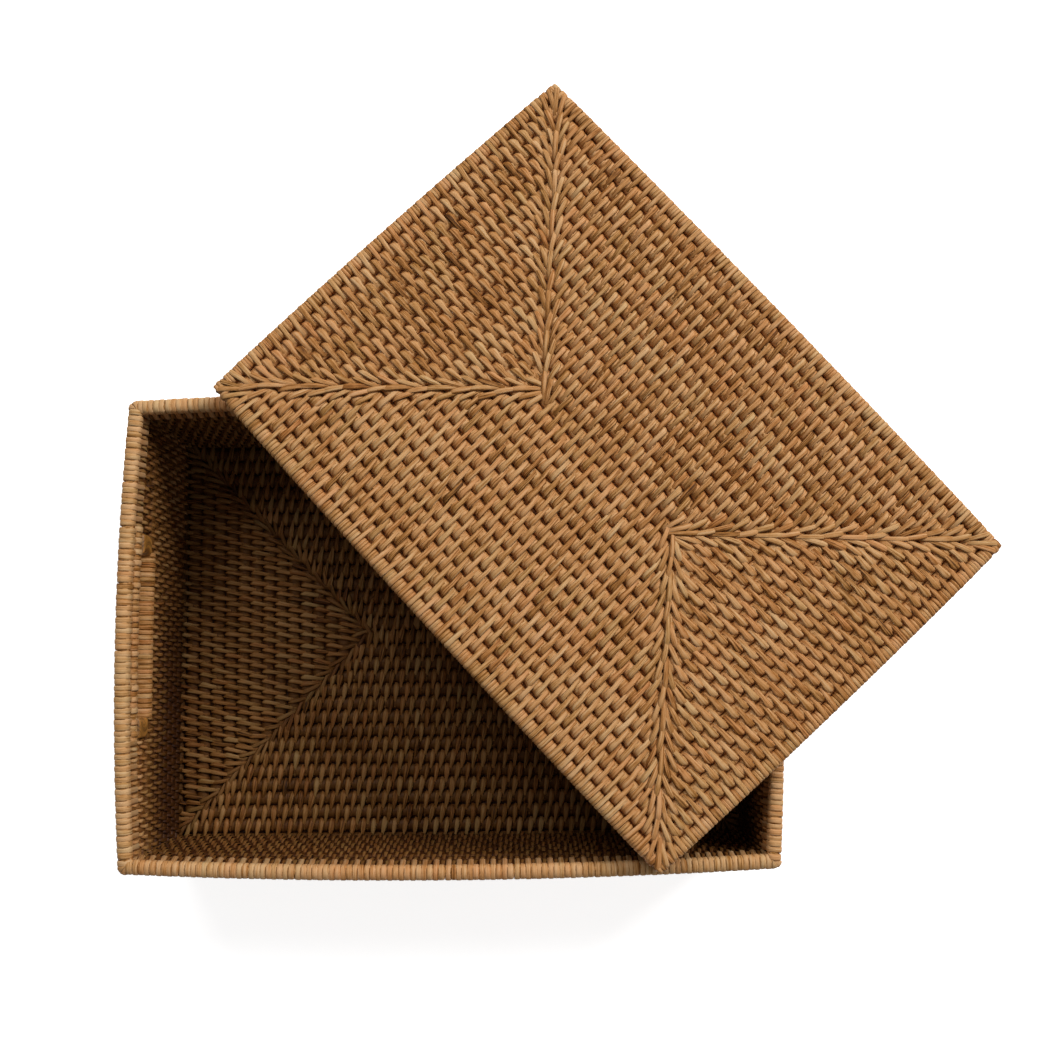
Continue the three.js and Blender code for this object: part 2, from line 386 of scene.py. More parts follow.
@dataclass
class CoilSheet:
    """A base or lid that is coiled outwards from a straight start rod. Course numbers may be fractions."""

    start_half: float
    edge_half: tuple
    edge_course: float
    shift: float
    bow: float
    level: float
    place: Matrix

    def reach(self, side, course):
        """Half the length of one side of a course"""
        share = course / self.edge_course
        if side in LONG_SIDES:
            return self.start_half + (self.edge_half[0] - self.start_half) * share
        return self.edge_half[1] * share

    def pitch(self, side):
        """From course to course, measured out from that side"""
        return self.reach("right", 1.0) if side in LONG_SIDES else self.reach("front", 1.0) - self.start_half

    def spread(self, side, lateral, height):
        return 1.0

    def spot(self, side, lateral, course):
        """Points and normals at places along one side of a course"""
        share = course / self.edge_course
        half_x = self.reach("front", course)
        half_y = self.reach("right", course)
        middle = self.shift * (1.0 - share)
        along_half, out = (half_x, half_y) if side in LONG_SIDES else (half_y, half_x)
        even = np.clip(lateral / np.maximum(along_half, 1.0), -1.0, 1.0)
        out = out + self.bow * share * (1.0 - even ** 2)
        x, y = {
            "back": (lateral, middle + out),
            "front": (-lateral, middle - out),
            "right": (out, middle - lateral),
            "left": (-out, middle + lateral),
        }[side]
        x, y = np.broadcast_arrays(x, y)
        points = np.stack([x, y, np.full(x.shape, self.level)], axis=-1)
        return placed(self.place, points, np.broadcast_to((0.0, 0.0, 1.0), points.shape))


@dataclass
class WallStack:
    """A ring of courses, one above the other. Course 0 is the foot and the last one is the rim."""

    half: tuple
    radius: float
    outer_radius: float
    level_of: object
    rise_of: object
    place: Matrix

    def straight(self, side):
        return (self.half[0] if side in LONG_SIDES else self.half[1]) - self.radius

    def reach(self, side, course=0.0):
        """Half the length of one side, measured outside and to the middle of its rounded corners"""
        return self.straight(side) + self.outer_radius * math.pi / 4

    def pitch(self, side):
        return PITCH

    def spread(self, side, lateral, height):
        """How much narrower a wrap is on the inside of a corner than on its outside"""
        inside = np.clip((self.radius + height) / self.outer_radius, NARROWEST_WRAP, 1.0)
        return np.where(np.abs(lateral) > self.straight(side), inside, 1.0)

    def spot(self, side, lateral, course):
        """Points and normals at places along one side of a course"""
        level = self.level_of(course)
        straight = self.straight(side)
        out_half = self.half[1] if side in LONG_SIDES else self.half[0]
        lateral, level = np.broadcast_arrays(np.asarray(lateral, float), np.asarray(level, float))
        flat = np.clip(lateral, -straight, straight)
        angle = np.clip((lateral - flat) / self.outer_radius, -CORNER_TURN, CORNER_TURN)
        rise = self.rise_of(level)
        bow = RIM_BOW * rise
        out = out_half - self.radius * (1.0 - np.cos(angle)) + bow * (1.0 - (flat / straight) ** 2)
        along = flat + self.radius * np.sin(angle)
        tilt = angle + 2.0 * bow * flat / straight ** 2
        turn = math.radians({"front": -90.0, "right": 0.0, "back": 90.0, "left": 180.0}[side])
        cos, sin = math.cos(turn), math.sin(turn)
        x = out * cos - along * sin
        y = out * sin + along * cos
        x = x + rise * (RIM_ASIDE[0] + RIM_OPENED[0] * x / BOX_HALF[0])
        y = y + rise * (RIM_ASIDE[1] + RIM_OPENED[1] * y / BOX_HALF[1])
        sharper = 1.0 + CORNER_SHARPNESS * (1.0 / np.cos(angle) - 1.0)
        out_part, along_part = sharper * np.cos(tilt), sharper * np.sin(tilt)
        normal_x = out_part * cos - along_part * sin
        normal_y = out_part * sin + along_part * cos
        return placed(self.place, np.stack([x, y, level], axis=-1),
                      np.stack([normal_x, normal_y, np.zeros(x.shape)], axis=-1))


def lid_place():
    return Matrix.Translation((*LID_MOVE, 0.0)) @ Matrix.Rotation(LID_TURN, 4, "Z")


def wall_level(course):
    return BASE_THICKNESS + (np.asarray(course, float) - 0.5) * PITCH


def wall_rise(level):
    """0 at the foot of the wall and 1 at the rim"""
    return np.clip((level - BASE_THICKNESS) / (BOX_HEIGHT - BASE_THICKNESS), 0.0, 1.0)


def base_sheet():
    inner = (WALL_HALF[0] - WALL_THICKNESS, WALL_HALF[1] - WALL_THICKNESS)
    return CoilSheet(BASE_START_HALF, inner, BASE_COURSES + 0.5, 0.0, 0.0, BASE_LEVEL, Matrix.Identity(4))


def lid_sheet():
    return CoilSheet(LID_START_HALF, LID_HALF, LID_COURSES + 0.5, LID_SHIFT, LID_BOW, LID_LEVEL, lid_place())


def wall_stack():
    half = (WALL_HALF[0] - WALL_THICKNESS / 2, WALL_HALF[1] - WALL_THICKNESS / 2)
    return WallStack(half, *WALL_CORNER, wall_level, wall_rise, Matrix.Identity(4))


def lip_stack():
    return WallStack(LIP_HALF, *LIP_CORNER, lambda course: LIP_LEVEL + np.asarray(course, float) * LIP_COURSE,
                     lambda level: 0.0 * level, lid_place())


def inner_painted_shade(splints, points):
    """Painted shade on the inside of the wall: on the short sides low down in front and high up behind"""
    x, y, z = points.T
    low = np.clip(SHADE_TOP - SHADE_FADE * (z / PITCH - 0.5) / WALL_COURSES, 0.0, 1.0)
    back = np.clip(y / SHADE_REACH, 0.0, 1.0)
    ahead = np.clip(-y / SHADE_REACH, 0.0, 1.0)
    short = splints.wall_painted_shade * (low * (1.0 - back) + SHADE_BEHIND * (1.0 - low) * back)
    short += np.minimum(SHADE_AHEAD[0], SHADE_AHEAD[1] * low) * ahead
    long = splints.wall_painted_shade * np.where(y < 0.0, *LONG_WALL_SHADES)
    on_short = np.abs(x) - WALL_HALF[0] > np.abs(y) - WALL_HALF[1]
    return np.minimum(np.where(on_short, short, long), 1.0)


class Winding:
    """Closed paths of many splints of one piece, with what the sweep and the finish need at each point"""

    def __init__(self, name, splints):
        self.name = name
        self.random = np.random.default_rng(splints.seed + SEED_STEPS[name])
        self.parts = []

    def tints(self, count, paler, vary):
        """Lightness, warmth and an own number of each stitch. One splint lasts for a run of stitches."""
        random = self.random
        light = np.empty(count)
        warm = np.empty(count)
        start = 0
        while start < count:
            end = min(count, start + int(random.integers(*RUN_OF_STITCHES)))
            light[start:end] = USUAL_LIGHT + paler + random.normal(0.0, LIGHT_STRAYS[0] * vary)
            warm[start:end] = random.uniform(*WARMTH)
            start = end
        light += random.normal(0.0, LIGHT_STRAYS[1] * vary, count)
        warm += random.normal(0.0, WARMTH_STRAYS * vary, count)
        stained = random.random(count) < STAINED_SHARE
        light[stained] -= random.uniform(*STAIN, stained.sum())
        light = np.clip(light, DARKEST, 1.0)
        return np.stack([light, np.clip(warm, 0.0, 1.0), random.random(count)], axis=-1)

    def add(self, surface, side, course, lateral, shape, width, slope=0.0, bend=0.0, height=1.0, stretch=1.0,
            curl=0.0, skew=0.0, shade=0.0, shaded_face=1.0, paler=0.0, vary=1.0, bare_from=BARE_NOWHERE):
        """Stitches of one row: `lateral` has their places, and the rest are single numbers or one each.

        `shade` is painted shade on the face that `shaded_face` names: 1 is the upper or outer one, and -1 the
        other.
        From the place `bare_from` on, a stitch lies open to view and gets no painted groove shade, also where
        it goes round the rod."""
        count = len(lateral)
        if count == 0:
            return
        course, lateral, width, slope, bend, height, stretch, curl, skew, shade = (
            np.broadcast_to(np.asarray(value, float), (count,))[:, None]
            for value in (course, lateral, width, slope, bend, height, stretch, curl, skew, shade))
        spots, heights, shares = shape.T[:, None, :]
        across = spots * stretch
        pitch = surface.pitch(side)

        def along_row(place):
            ends = np.where(place > 0.0, HEAD_CURL, -1.0) * np.maximum(np.abs(place) - CURL_FROM, 0.0) ** 2
            return lateral + pitch * (slope * place + bend * (place ** 2 - 0.25) - curl * ends)

        def spot(place):
            return surface.spot(side, along_row(place), course + place)

        nearby = 0.02
        base, normal = spot(across)
        along = spot(across + nearby)[0] - spot(across - nearby)[0]
        along /= np.linalg.norm(along, axis=-1, keepdims=True)
        points = base + normal * (heights * height)[..., None]
        step = np.roll(points, -1, axis=1) - np.roll(points, 1, axis=1)
        rise = (step * normal).sum(-1, keepdims=True)
        run = (step * along).sum(-1, keepdims=True)
        facing = normal * run - along * rise
        facing /= np.linalg.norm(facing, axis=-1, keepdims=True)
        half = 0.5 * width * shares * surface.spread(side, along_row(across), heights)
        near_end = np.clip(2.0 * np.abs(spots) - 0.6, 0.0, 1.0)
        aslant = -along * (skew * half * near_end)[..., None]
        # Painted groove shade on what lies low, none from `bare_from` on
        lift = np.clip((np.abs(heights) - SUNK_HEIGHT) / BARE_OVER, 0.0, 1.0) + 0.0 * half
        lift[:, shape[:, 0] > bare_from] = 1.0
        tint = np.repeat(self.tints(count, paler, vary)[:, None, :], len(shape), axis=1)
        shade = shade * np.clip(0.5 + 0.25 * shaded_face * heights, 0.0, 1.0)
        self.parts.append((points * MM, facing, half * MM, lift, shade, tint, aslant * MM))

    def mesh(self):
        """All paths as closed chains of edges, with their attributes"""
        mesh = bpy.data.meshes.new(self.name + "_paths")
        links = []
        first = 0
        for points, *_ in self.parts:
            count, ring = points.shape[:2]
            index = first + np.arange(count * ring).reshape(count, ring)
            links.append(np.stack([index, np.roll(index, -1, axis=1)], axis=-1).reshape(-1, 2))
            first += count * ring
        links = np.concatenate(links)
        places, *columns = (np.concatenate([part.reshape(-1, *part.shape[2:]) for part in column])
                            for column in zip(*self.parts))
        mesh.vertices.add(first)
        mesh.edges.add(len(links))
        mesh.vertices.foreach_set("co", places.ravel())
        mesh.edges.foreach_set("vertices", links.ravel().astype(np.int32))
        for label, values in zip(PATH_ATTRIBUTES, columns):
            kind, field = ("FLOAT_VECTOR", "vector") if values.ndim > 1 else ("FLOAT", "value")
            mesh.attributes.new(label, kind, "POINT").data.foreach_set(field, values.ravel())
        mesh.update()
        return mesh


def add_node(tree, kind, inputs=None, **settings):
    """A node with its settings, and its inputs by name or number: a socket is linked, a value is set."""
    node = tree.nodes.new(kind)
    for name, value in settings.items():
        setattr(node, name, value)
    for key, value in (inputs or {}).items():
        socket = node.inputs[key]
        if isinstance(value, bpy.types.NodeSocket):
            tree.links.new(value, socket)
        else:
            socket.default_value = value
    return node


def sweep_tree():
    """Sweeps a flat half-round section along every path"""
    name = "splint sweep"
    if name in bpy.data.node_groups:
        return bpy.data.node_groups[name]
    tree = bpy.data.node_groups.new(name, "GeometryNodeTree")
    for label, way, kind in (
            ("Paths", "INPUT", "Geometry"), ("Thickness", "INPUT", "Float"),
            ("Finish", "INPUT", "Material"), ("Splints", "OUTPUT", "Geometry")):
        tree.interface.new_socket(name=label, in_out=way, socket_type="NodeSocket" + kind)

    def put(kind, inputs=None, **settings):
        return add_node(tree, "GeometryNode" + kind, inputs, **settings).outputs[0]

    def read(label, kind):
        return put("InputNamedAttribute", {"Name": label}, data_type=kind)

    def store(geometry, label, value):
        return put("StoreNamedAttribute", {"Geometry": geometry, "Name": label, "Value": value},
                   data_type="FLOAT", domain="POINT")

    start = add_node(tree, "NodeGroupInput").outputs
    length = add_node(tree, "GeometryNodeSplineParameter").outputs["Length"]
    paths = put("MeshToCurve", {"Mesh": start["Paths"]})
    paths = put("SetCurveNormal", {"Curve": paths, "Normal": read("facing", "FLOAT_VECTOR")}, mode="FREE")
    paths = store(paths, "along", length)
    section = put("CurvePrimitiveCircle", {"Resolution": SECTION_SIDES, "Radius": 1.0}, mode="RADIUS")
    section = put("Transform", {"Geometry": section, "Rotation": (0.0, 0.0, math.pi / SECTION_SIDES)})
    flat = add_node(tree, "ShaderNodeCombineXYZ", {"X": start["Thickness"], "Y": 1.0, "Z": 1.0})
    section = put("Transform", {"Geometry": section, "Scale": flat.outputs[0]})
    place = add_node(tree, "ShaderNodeSeparateXYZ", {"Vector": put("InputPosition")})
    section = store(section, "across", place.outputs["Y"])
    splints = put("CurveToMesh", {"Curve": paths, "Profile Curve": section, "Scale": read("half", "FLOAT")})
    offset = add_node(tree, "ShaderNodeVectorMath", {
        0: read("aslant", "FLOAT_VECTOR"), "Scale": read("across", "FLOAT")}, operation="SCALE")
    splints = put("SetPosition", {"Geometry": splints, "Offset": offset.outputs[0]})
    splints = put("SetShadeSmooth", {"Geometry": splints})
    splints = put("RealizeInstances", {"Geometry": splints})
    splints = put("SetMaterial", {"Geometry": splints, "Material": start["Finish"]})
    add_node(tree, "NodeGroupOutput", {"Splints": splints})
    return tree


def socket_of(tree, name):
    return next(item.identifier for item in tree.interface.items_tree
                if item.name == name and item.in_out == "INPUT")


def place_piece(mesh, body, nodes=()):
    """Links a finished mesh as a piece that rides on a body and stands for CAD nodes."""
    piece = bpy.data.objects.new(mesh.name, mesh)
    bpy.context.scene.collection.objects.link(piece)
    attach(piece, body)
    if nodes:
        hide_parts(*nodes)
    return piece


def wind(context, winding, body, nodes):
    """Sweeps a winding's paths and leaves one plain mesh, which stands for CAD nodes."""
    tree = sweep_tree()
    paths = winding.mesh()
    source = bpy.data.objects.new(paths.name, paths)
    context.scene.collection.objects.link(source)
    sweep = source.modifiers.new("sweep", "NODES")
    sweep.node_group = tree
    sweep[socket_of(tree, "Thickness")] = context.scene.rattan_splints.thickness
    sweep[socket_of(tree, "Finish")] = splint_finish(context.scene.rattan_colours)
    graph = context.evaluated_depsgraph_get()
    mesh = bpy.data.meshes.new_from_object(
        source.evaluated_get(graph), preserve_all_data_layers=True, depsgraph=graph)
    mesh.name = winding.name
    source.modifiers.remove(sweep)
    bpy.data.objects.remove(source)
    bpy.data.meshes.remove(paths)
    for spare in SWEEP_ATTRIBUTES:
        mesh.attributes.remove(mesh.attributes[spare])
    return place_piece(mesh, body, nodes)


def finish_tree(name):
    """A material and its empty tree, or no tree if the material is there already"""
    material = bpy.data.materials.get(name)
    if material:
        return material, None
    material = bpy.data.materials.new(name)
    material.use_nodes = True
    material.node_tree.nodes.clear()
    return material, material.node_tree


def math_node(tree, kind, first, second=0.0):
    return add_node(tree, "ShaderNodeMath", {0: first, 1: second}, operation=kind).outputs[0]


def mix_colour(tree, share, first, second, blend="MIX"):
    return add_node(tree, "ShaderNodeMix", {0: share, 6: first, 7: second},
                    data_type="RGBA", blend_type=blend).outputs[2]


def dyed_or_shaded(tree, colour, dye_or_shade, share=1.0):
    return mix_colour(tree, share, colour, (*dye_or_shade, 1.0), "MULTIPLY")


def map_range(tree, value, limits, new_limits):
    return add_node(tree, "ShaderNodeMapRange", {
        "Value": value, 1: limits[0], 2: limits[1], 3: new_limits[0], 4: new_limits[1]}).outputs[0]


def noise(tree, parts, paces, detail, roughness):
    """Noise over three numbers, each of which runs at its own pace"""
    drawn = add_node(tree, "ShaderNodeCombineXYZ", {
        number: math_node(tree, "MULTIPLY", part, pace)
        for number, (part, pace) in enumerate(zip(parts, paces))})
    return add_node(tree, "ShaderNodeTexNoise", {
        "Vector": drawn.outputs[0], "Scale": 1.0, "Detail": detail, "Roughness": roughness}).outputs["Fac"]


def colour_ramp(tree, value, first, last, between=()):
    """Colours along a scale, each with its place on it"""
    ramp = add_node(tree, "ShaderNodeValToRGB", {0: value})
    steps = ramp.color_ramp.elements
    for step, (place, colour) in zip(steps, (first, last)):
        step.position = place
        step.color = (*colour, 1.0)
    for place, colour in between:
        steps.new(place).color = (*colour, 1.0)
    return ramp.outputs[0]


def surface_shader(tree, inputs):
    shader = add_node(tree, "ShaderNodeBsdfPrincipled", inputs)
    add_node(tree, "ShaderNodeOutputMaterial", {"Surface": shader.outputs[0]})


def splint_finish(colours):
    """Peeled rattan: fine fibres along each splint, splints of uneven tone, and painted shade, dull and dark,
    down in the gaps and where `shade` says
    """
    material, tree = finish_tree("rattan splints")
    if tree is None:
        return material
    tint = add_node(tree, "ShaderNodeAttribute", attribute_name="tint").outputs["Vector"]
    light, warm, own = add_node(tree, "ShaderNodeSeparateXYZ", {0: tint}).outputs
    along, across, lift, shade = (
        add_node(tree, "ShaderNodeAttribute", attribute_name=label).outputs["Fac"]
        for label in ("along", "across", "lift", "shade"))
    fibre = noise(tree, (across, along, own), FIBRE_PACE, detail=3.0, roughness=0.65)
    patch = noise(tree, (across, along, own), PATCH_PACE, detail=2.0, roughness=0.5)
    value = light
    for unevenness, contrast in ((fibre, FIBRE_CONTRAST), (patch, PATCH_CONTRAST)):
        centred = math_node(tree, "SUBTRACT", unevenness, 0.5)
        value = math_node(tree, "ADD", value, math_node(tree, "MULTIPLY", centred, contrast))
    dark, brown, tan, pale = ((place, getattr(colours, name)) for name, place in TONE_PLACES.items())
    tone = colour_ramp(tree, value, dark, pale, (brown, tan))
    colour = mix_colour(tree, warm, dyed_or_shaded(tree, tone, YELLOWER), dyed_or_shaded(tree, tone, REDDER))
    # Painted groove shade, down in the gaps
    bare = map_range(tree, lift, (0.0, 0.95), (0.0, 1.0))
    colour = mix_colour(tree, bare, dyed_or_shaded(tree, colour, PAINTED_GROOVE_SHADE), colour)
    # Painted shade, as much as the attribute shade says
    for dye_or_shade in PAINTED_SHADE_TINTS:
        colour = dyed_or_shaded(tree, colour, dye_or_shade, shade)
    bump = add_node(tree, "ShaderNodeBump", {"Height": fibre, "Strength": 0.5, "Distance": 0.25 * MM})
    surface_shader(tree, {
        "Base Color": colour, "Roughness": map_range(tree, fibre, FIBRE_LIMITS, FIBRE_ROUGHNESS),
        "Normal": bump.outputs[0], "Specular IOR Level": 0.2})
    return material


def plug_finish(colours):
    """Bare smoothed rattan with its grain bent round the ends of the slots"""
    material, tree = finish_tree("bare rattan plugs")
    if tree is None:
        return material
    place = add_node(tree, "ShaderNodeTexCoord").outputs["Object"]
    x, y, z = add_node(tree, "ShaderNodeSeparateXYZ", {0: place}).outputs
    aside = math_node(tree, "SUBTRACT", math_node(tree, "ABSOLUTE", y), SLOT_HALF * MM)
    above = math_node(tree, "SUBTRACT", z, (BASE_THICKNESS + (SLOT_BELOW + 1) * PITCH) * MM)
    squares = [math_node(tree, "MULTIPLY", part, part) for part in (aside, above)]
    outwards = math_node(tree, "SQRT", math_node(tree, "ADD", *squares))
    grain = noise(tree, (outwards, x, z), GRAIN_PACE, detail=3.0, roughness=0.55)
    lines = [GRAIN_DARK * part for part in colours.plug]
    colour = colour_ramp(tree, grain, (GRAIN_PLACES[0], lines), (GRAIN_PLACES[1], colours.plug))
    bump = add_node(tree, "ShaderNodeBump", {"Height": grain, "Strength": 0.25, "Distance": 0.2 * MM})
    surface_shader(tree, {"Base Color": colour, "Roughness": 0.5, "Normal": bump.outputs[0]})
    return material


def rod_shape():
    """An empty mesh with what the finish reads at each point"""
    shape = bmesh.new()
    for label in ("along", "across", "lift", "shade"):
        shape.verts.layers.float.new(label)
    shape.verts.layers.float_vector.new("tint")
    return shape


def unit_vectors(vectors):
    return vectors / np.linalg.norm(vectors, axis=-1, keepdims=True)


def add_rod(shape, points, size, closed=True, sides=8, tint=(0.5, 0.5, 0.5), outward=False, shade=0.0,
            shaded_face=1.0, sharpest=1.5):
    """A wound rod of elliptical section along points. `outward` says that it shows its side faces."""
    half_out, half_up = size
    points = np.asarray(points, float)
    count = len(points)
    shade = np.broadcast_to(shade, (count,))
    layers = shape.verts.layers
    along, across, lift, painted_shade = (layers.float[label] for label in ("along", "across", "lift", "shade"))
    own = layers.float_vector["tint"]
    steps = np.linalg.norm(np.roll(points, -1, axis=0) - points, axis=-1)
    gone = np.concatenate([[0.0], np.cumsum(steps)[:-1]])
    if closed:
        gone = np.minimum(gone, steps.sum() - gone)
    before = np.roll(points, 1, axis=0) - points
    after = np.roll(points, -1, axis=0) - points
    if not closed:
        before[0] = -after[0]
        after[-1] = -before[-1]
    after = unit_vectors(after)
    tangent = unit_vectors(after - unit_vectors(before))
    up = np.array([0.0, 0.0, 1.0])
    out = unit_vectors(np.cross(tangent, up))
    reach = np.minimum(1.0 / np.maximum((tangent * after).sum(-1, keepdims=True), 0.6), sharpest)
    rings = []
    for spot in range(count):
        ring = []
        for corner in range(sides):
            angle = 2 * math.pi * corner / sides
            cos, sin = math.cos(angle), math.sin(angle)
            offset = out[spot] * reach[spot] * half_out * cos + up * half_up * sin
            point = shape.verts.new((points[spot] + offset) * MM)
            point[along] = angle * half_up * MM
            point[across] = gone[spot] / FIBRE_BREADTH
            # Painted groove shade where the rod turns into a groove
            point[lift] = min(abs(half_out * cos if outward else half_up * sin) / ROD_BARE, 1.0)
            facing = shaded_face * (cos if outward else sin)
            point[painted_shade] = shade[spot] * min(max(0.5 + facing, 0.0), 1.0)
            point[own] = tint
            ring.append(point)
        rings.append(ring)
    for spot in range(count if closed else count - 1):
        one, two = rings[spot], rings[(spot + 1) % count]
        for corner in range(sides):
            following = (corner + 1) % sides
            shape.faces.new((one[corner], one[following], two[following], two[corner]))
    if not closed:
        shape.faces.new(rings[0])
        shape.faces.new(rings[-1][::-1])


def smooth_mesh(shape, name, finish):
    """The mesh of a finished shape, with its faces outwards"""
    bmesh.ops.recalc_face_normals(shape, faces=shape.faces)
    for face in shape.faces:
        face.smooth = True
    mesh = bpy.data.meshes.new(name)
    shape.to_mesh(mesh)
    shape.free()
    mesh.materials.append(finish)
    return mesh


def ring_points(surface, course, steps, sides=SIDES, random=None):
    """Middle line of one course, side after side, uneven if it gets random numbers"""
    line = []
    for side in sides:
        reach = surface.reach(side, course)
        places = np.full(steps, float(course))
        if random:
            places[1:] += random.normal(0.0, ROD_STRAYS, steps - 1)
        line.append(surface.spot(side, np.linspace(-reach, reach, steps + 1)[:-1], places)[0])
    return np.concatenate(line)


def wall_lines(wall, course, cut=None):
    """Middle line of a wall course, or two, in front and behind, if the handle slots cut it at `cut`"""
    if cut is None:
        return [ring_points(wall, course, steps=20)]
    lines = []
    for ahead, middle, behind in (("left", "front", "right"), ("right", "back", "left")):
        reach = wall.reach(ahead)
        long_reach = wall.reach(middle)
        lines.append(np.concatenate([
            wall.spot(ahead, np.linspace(cut, reach, 6)[:-1], course)[0],
            wall.spot(middle, np.linspace(-long_reach, long_reach, 24)[:-1], course)[0],
            wall.spot(behind, np.linspace(-reach, -cut, 6), course)[0]]))
    return lines


def node_names(stem, first, last):
    return [f"{stem}_{index:02d}" for index in range(first, last + 1)]


class RATTAN_OT_rods(bpy.types.Operator):
    """Rods of the base, the wall, the rim, the lid and its lip"""

    bl_idname = "rattan.rods"
    bl_label = "Rods"

    def execute(self, context):
        finish = splint_finish(context.scene.rattan_colours)
        splints = context.scene.rattan_splints
        random = np.random.default_rng(splints.seed)
        for sheet, name, last, body, slot in (
                (base_sheet(), "base_rods", BASE_COURSES + 1, "box", "base_rattan"),
                (lid_sheet(), "lid_rods", LID_COURSES, "lid", "lid_rattan")):
            shape = rod_shape()
            # Painted shade on the base's rods, deeper than on its splints
            shade = FLOOR_ROD_SHADE * splints.floor_painted_shade if body == "box" else 0.0
            ends = [sheet.spot(side, np.zeros(1), np.full(1, 0.5))[0][0] for side in SHORT_SIDES]
            add_rod(shape, ends, START_ROD, closed=False, sides=ROUND_SIDES, tint=(USUAL_LIGHT, 0.5, 0.5),
                    shade=shade)
            for course in range(1, last + 1):
                tint = (random.normal(USUAL_LIGHT, 0.02), random.uniform(*ROD_WARMTH), random.random())
                uneven, size, sharpest = (random, SHEET_ROD, 1.5) if course < last else (None, EDGE_ROD, 0.9)
                add_rod(shape, ring_points(sheet, course, 40, COIL_ROUND, uneven), size, sides=ROUND_SIDES,
                        tint=tint, shade=shade, sharpest=sharpest)
                add_rod(shape, ring_points(sheet, course - 0.5, 8, COIL_ROUND), SHEET_FILLER,
                        sides=FILLER_SIDES, tint=GROOVE_SHADE_TINT, shade=shade)
            place_piece(smooth_mesh(shape, name, finish), body)

        wall = wall_stack()
        shape = rod_shape()
        for course in range(1, RIM + 1):
            tint = (WALL_ROD_LIGHT, random.uniform(*ROD_WARMTH), random.random())
            if course == RIM:
                add_rod(shape, *wall_lines(wall, RIM + RIM_LIFT), RIM_ROD, sides=ROUND_SIDES, tint=tint)
            else:
                cut = CUT_HALF if course in CUT_COURSES else None
                size = SLOT_ROD if course in SLOT_EDGES else WALL_ROD
                for line in wall_lines(wall, course, cut):
                    # Painted shade on the wall's rods inside, deeper than on its splints
                    painted_shade = WALL_ROD_SHADE[0] + WALL_ROD_SHADE[1] * inner_painted_shade(splints, line)
                    add_rod(shape, line, size, closed=cut is None, tint=tint, outward=True,
                            shade=np.minimum(painted_shade, 1.0), shaded_face=-1.0)
            cut = SLOT_HALF + FILLER_OVERLAP if course in (*CUT_COURSES, WALL_COURSES) else None
            for line in wall_lines(wall, course - 0.5, cut):
                add_rod(shape, line, WALL_FILLER, closed=cut is None, sides=FILLER_SIDES, tint=GROOVE_SHADE_TINT)
        place_piece(smooth_mesh(shape, "wall_rods", finish), "box")

        shape = rod_shape()
        add_rod(shape, ring_points(lip_stack(), 0.0, steps=12), LIP_ROD, tint=(LIP_ROD_LIGHT, 0.5, 0.5))
        place_piece(smooth_mesh(shape, "lid_lip_rod", finish), "lid")
        return {"FINISHED"}


def row_phase(side, course):
    """Where a row's columns start, in spacings: half of one on in every other row"""
    return 0.5 * ((course + (side in ("front", "left"))) % 2) + 0.02 * course


def row_places(unit, phase, limits, random):
    """Places along one row: even columns in the middle, filled closer up to a stitch beside each mitre"""
    low, high = limits
    number = int((high - low) / unit) + 2
    columns = unit * (np.arange(-number, number + 1) + phase)
    columns = columns[(columns > low + LATTICE_END) & (columns < high - LATTICE_END)]
    if len(columns) == 0:
        if high - low < SINGLE_ROW * unit:
            return np.array([0.5 * (low + high)])
        return np.linspace(low, high, max(2, int(round((high - low) / (SHORT_ROW_SPACING * unit))) + 1))
    pieces = [columns + random.normal(0.0, PLACE_STRAYS, len(columns))]
    for limit, last in ((high, columns[-1]), (low, columns[0])):
        count = max(1, int(round(abs(limit - last) / (MITRE_SPACING * unit))))
        pieces.append(last + (limit - last) * np.arange(1, count + 1) / count)
    return np.sort(np.concatenate(pieces))


def mitre_slopes(lateral, ends, reach, most, lean, random):
    """Slope of each stitch along its row, a lean that turns towards the mitre, and its nearness to it"""
    low, high = ends
    near = np.clip(1.0 - np.minimum(high - lateral, lateral - low) / reach, 0.0, 1.0)
    near = near * near * (3.0 - 2.0 * near)
    turn = np.where(lateral > 0.5 * (low + high), most, -most)
    slope = math.tan(lean) * (1.0 - near) + turn * near
    return slope + random.normal(0.0, 0.03, len(lateral)), near


def mitre_ends(side, half, shift):
    """Where the mitres cut a row: off the diagonals towards the long side, but one towards the short side"""
    odd_one = {"front": 1.0, "left": -1.0}.get(side)
    inward = shift if side in LONG_SIDES else -shift
    return [end * (half + (inward if end == odd_one else -inward)) for end in (-1.0, 1.0)]


def stitch_sheet(name, sheet, sides, rows, unit, splints, leans, reach, forms, turn=1.0, shade=0.0,
                 vary=1.0):
    """Stitches of a base or lid on some sides, row by row. Mitres turn them by `turn` from `reach` on."""
    winding = Winding(name, splints)
    random = winding.random
    for side in sides:
        short = int(side in SHORT_SIDES)
        shape, share = forms[short]
        for course in rows:
            between = course - 0.5
            ends = mitre_ends(side, sheet.reach(side, between), splints.mitre_shift / MM)
            beside, most = MITRES[short][course % 2]
            limits = (ends[0] + beside, ends[1] - beside)
            lateral = row_places(unit, row_phase(side, course), limits, random)
            count = len(lateral)
            slope, near = mitre_slopes(lateral, ends, reach, turn * most, leans[short], random)
            turned = near > TURNED_FROM
            width = unit * np.where(turned, splints.ridge_width, share) * random.normal(1.0, 0.07, count)
            proud = SUNK_MITRE if shade else PROUD_MITRE
            height = random.normal(1.0, 0.025, count) * (1.0 + proud * near)
            # More painted shade on the base's stitches near a mitre, where they stand out
            painted_shade = np.minimum(shade * (1.0 + 0.35 * near), 1.0)
            place = between + random.normal(0.0, 0.03, count)
            bend = -0.06 * np.sign(lateral) * near
            curl = (0.0 if shade else splints.curl) * (1.0 - near)
            for chosen, form in ((~turned, shape), (turned, MITRE_STITCH)):
                winding.add(sheet, side, place[chosen], lateral[chosen], form, width[chosen], slope[chosen],
                            bend[chosen], height[chosen], curl=curl[chosen], skew=splints.skew,
                            shade=painted_shade[chosen], vary=vary)
    return winding


